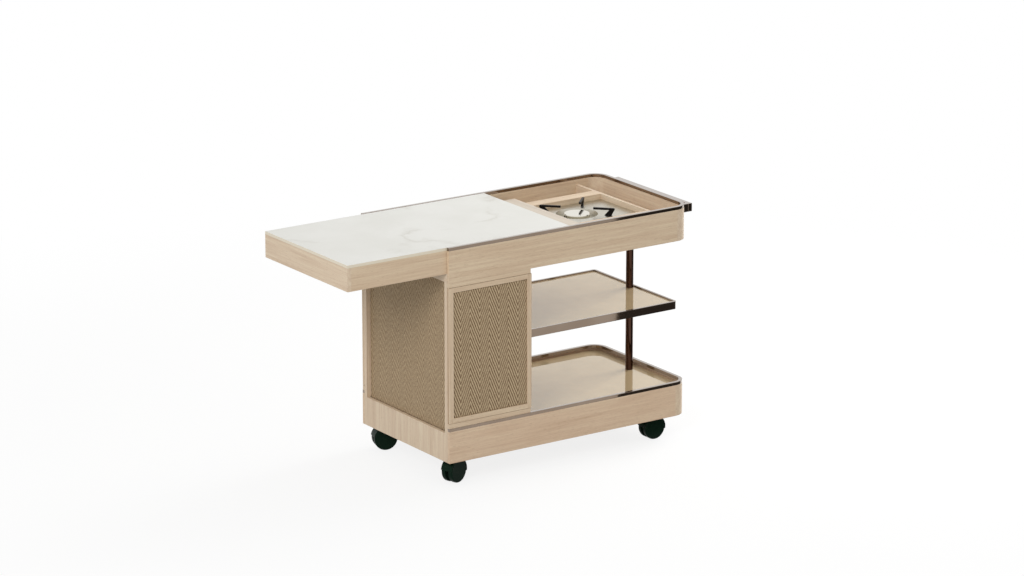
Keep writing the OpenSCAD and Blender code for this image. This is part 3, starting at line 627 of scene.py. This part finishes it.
def darkGloss(name, part):
    material, tree = newMaterial(name)
    coords = addNode(tree, "TexCoord").outputs["Object"]
    grain = addNode(tree, "TexNoise", {
        "Vector": coords, "Scale": 1000 / part["grainMm"], "Detail": 3.0})
    tint = addNode(tree, "ValToRGB", {"Fac": grain}, stops=[
        (0.3, part["colours"][0]), (0.7, part["colours"][1])])
    rough = addNode(tree, "MapRange", {
        "Value": grain, "From Min": 0.3, "From Max": 0.7, "To Min": part["roughness"] - 0.03,
        "To Max": part["roughness"] + 0.04})
    arris = addNode(tree, "Bevel", {"Radius": darkFinish["edgeMm"] / 1000}, samples=4)
    relief = addNode(tree, "Bump", {
        "Height": grain, "Strength": part["relief"],
        "Distance": darkFinish["grainDepthMm"] / 1000, "Normal": arris})
    if "mark" in part:
        mark = part["mark"]
        parts = addNode(tree, "SeparateXYZ", {"Vector": coords})
        off = addNode(tree, "Math", {0: parts.outputs["Y"], 1: mark["y"]}, operation="SUBTRACT")
        close = addNode(tree, "Math", {0: off, 1: 0.0, 2: mark["half"]}, operation="COMPARE")
        past = addNode(tree, "Math", {0: parts.outputs["X"], 1: mark["x"]},
                       operation="GREATER_THAN")
        line = addNode(tree, "Math", {0: close, 1: past}, operation="MULTIPLY")
        tint = addNode(tree, "Mix", {"Factor": line, "A": tint, "B": mark["colour"]},
                       data_type="RGBA")
    shader = addNode(tree, "BsdfPrincipled", {
        "Base Color": tint, "Roughness": rough, "Normal": relief, "IOR": 1.5,
        "Specular IOR Level": part["shine"]})
    addNode(tree, "OutputMaterial", {"Surface": shader})
    return material


for name, part in darkParts.items():
    put(darkGloss(name, part), *part["pieces"])
print("dark parts finished")


# Studio: white floor and surroundings, soft light mostly from above and from the left, and a
# weaker box on the right that brightens the rounded corners.
studio = {
    "floorHalf": 14.0,
    "floorColour": "#F6F6F5",
    "floorBounce": "#CCCBC8",
    "glowNear": 0.83,        # share of the floor by the trolley that is seen as plain white
    "glowFar": 1.0,
    "glossShare": 0.6,       # the same for polished parts, against what the camera sees
    "nearReach": 1.3,        # metres
    "farReach": 3.4,
    "skyStrength": 0.56,
}
lamps = {
    "key softbox": {
        "place": (-7.1, -4.7, 5.3), "target": (0.0, 0, 0.5), "size": 3.6, "power": 405},
    "top softbox": {
        "place": (2.2, 0.4, 3.9), "target": (0.2, 0, 0.8), "size": 2.4, "power": 15},
    "side softbox": {
        "place": (3.4, 0.5, 2.0), "target": (0.6, 0, 0.5), "size": 1.6, "power": 90},
}


def makeFloor():
    half = studio["floorHalf"]
    mesh = bpy.data.meshes.new("floor")
    corners = [(-half, -half, 0), (half, -half, 0), (half, half, 0), (-half, half, 0)]
    mesh.from_pydata(corners, [], [(0, 1, 2, 3)])
    floor = bpy.data.objects.new("floor", mesh)
    bpy.context.scene.collection.objects.link(floor)
    material, tree = newMaterial("white paper floor")
    path = addNode(tree, "LightPath")
    seen = addNode(tree, "Math", {
        0: path.outputs["Is Glossy Ray"], 1: studio["glossShare"],
        2: path.outputs["Is Camera Ray"]}, operation="MULTIPLY_ADD")
    coords = addNode(tree, "TexCoord").outputs["Object"]
    away = addNode(tree, "VectorMath", {0: coords}, operation="LENGTH")
    glow = addNode(tree, "MapRange", {
        "Value": away, "From Min": studio["nearReach"], "From Max": studio["farReach"],
        "To Min": studio["glowNear"], "To Max": studio["glowFar"]},
        interpolation_type="SMOOTHSTEP")
    share = addNode(tree, "Math", {0: seen, 1: glow}, operation="MULTIPLY")
    # the sides of the trolley take less light from the floor than a lamp-lit paper would give
    tint = addNode(tree, "Mix", {
        "Factor": path.outputs["Is Diffuse Ray"], "A": studio["floorColour"],
        "B": studio["floorBounce"]}, data_type="RGBA")
    paper = addNode(tree, "BsdfDiffuse", {"Color": tint})
    white = addNode(tree, "Emission", {"Color": "#FFFFFF", "Strength": 1.0})
    mixed = addNode(tree, "MixShader", {0: share, 1: paper, 2: white})
    addNode(tree, "OutputMaterial", {"Surface": mixed})
    mesh.materials.append(material)


# Black cloth on the floor at the front right, which only polished surfaces show: it turns
# the bronze faces black at that end.
cloth = {
    "edge": (0.452, -0.275),
    "along": (0.5643, -0.8256),
    "bends": ((0.0, -0.10), (1.6, 0.0), (6.0, 0.0)),   # metres along, metres aside
    "width": 5.0,
    "lift": 0.001,
    "colours": ("#403E3C", "#4A4846"),
    "fibreMm": 3.33,
}


def makeBlackCloth():
    (x, y), (ax, ay) = cloth["edge"], cloth["along"]
    corners, faces = [], []
    for n, (far, aside) in enumerate(cloth["bends"]):
        left, depth = x + ax * far + aside, y + ay * far
        corners += [(left, depth, cloth["lift"]), (left + cloth["width"], depth, cloth["lift"])]
        if n:
            faces.append((2 * n - 2, 2 * n, 2 * n + 1, 2 * n - 1))
    mesh = bpy.data.meshes.new("black_cloth")
    mesh.from_pydata(corners, [], faces)
    sheet = bpy.data.objects.new("black_cloth", mesh)
    bpy.context.scene.collection.objects.link(sheet)
    material, tree = newMaterial("black studio cloth")
    coords = addNode(tree, "TexCoord").outputs["Object"]
    fibre = addNode(tree, "TexNoise", {"Vector": coords, "Scale": 1000 / cloth["fibreMm"]})
    tint = addNode(tree, "ValToRGB", {"Fac": fibre}, stops=[
        (0.3, cloth["colours"][0]), (0.7, cloth["colours"][1])])
    shader = addNode(tree, "BsdfDiffuse", {"Color": tint})
    addNode(tree, "OutputMaterial", {"Surface": shader})
    mesh.materials.append(material)
    for ray in ("camera", "diffuse", "transmission", "volume_scatter", "shadow"):
        setattr(sheet, "visible_" + ray, False)


def makeWorld():
    world = bpy.data.worlds.new("studio")
    bpy.context.scene.world = world
    world.use_nodes = True
    tree = world.node_tree
    tree.nodes.clear()
    path = addNode(tree, "LightPath")
    seen = addNode(tree, "Math", {
        0: path.outputs["Is Camera Ray"], 1: path.outputs["Is Glossy Ray"]},
        operation="MAXIMUM")
    light = addNode(tree, "Background", {"Color": "#FFFFFF", "Strength": studio["skyStrength"]})
    white = addNode(tree, "Background", {"Color": "#FFFFFF", "Strength": 1.0})
    mixed = addNode(tree, "MixShader", {0: seen, 1: light, 2: white})
    addNode(tree, "OutputWorld", {"Surface": mixed})


def addLamp(name, place, target, size, power):
    lamp = bpy.data.lights.new(name, "AREA")
    lamp.shape = "RECTANGLE"
    lamp.size, lamp.size_y = size, size
    lamp.energy = power
    lampObject = bpy.data.objects.new(name, lamp)
    bpy.context.scene.collection.objects.link(lampObject)
    lampObject.location = place
    aim = [t - p for t, p in zip(target, place)]
    yaw = math.atan2(aim[0], -aim[1])
    tilt = math.atan2(math.hypot(aim[0], aim[1]), -aim[2])
    lampObject.rotation_euler = (tilt, 0, yaw + math.pi)
    lampObject.visible_camera = False
    # no lamp shows as a hard bright patch in the polished parts
    lampObject.visible_glossy = False


makeFloor()
makeBlackCloth()
makeWorld()
for name, lamp in lamps.items():
    addLamp(name, **lamp)
print("studio built")


# Camera fitted to the straight edges in the photo.
camera = {
    "place": (-8.2019, -12.1661, 4.8248),
    "pitch": -16.092,        # degrees
    "yaw": 34.353,
    "focalPixels": 4406.66,
    "frameWidth": 1024,
    "sensorWidth": 36,
    "farClip": 100,
}
lens = bpy.data.cameras.new("camera")
lens.sensor_width = camera["sensorWidth"]
lens.lens = camera["focalPixels"] / camera["frameWidth"] * lens.sensor_width
lens.clip_end = camera["farClip"]
cameraObject = bpy.data.objects.new("camera", lens)
bpy.context.scene.collection.objects.link(cameraObject)
cameraObject.location = camera["place"]
cameraObject.rotation_euler = (
    math.radians(90 + camera["pitch"]), 0, -math.radians(camera["yaw"]))
bpy.context.scene.camera = cameraObject
bpy.context.scene.view_settings.view_transform = "Standard"
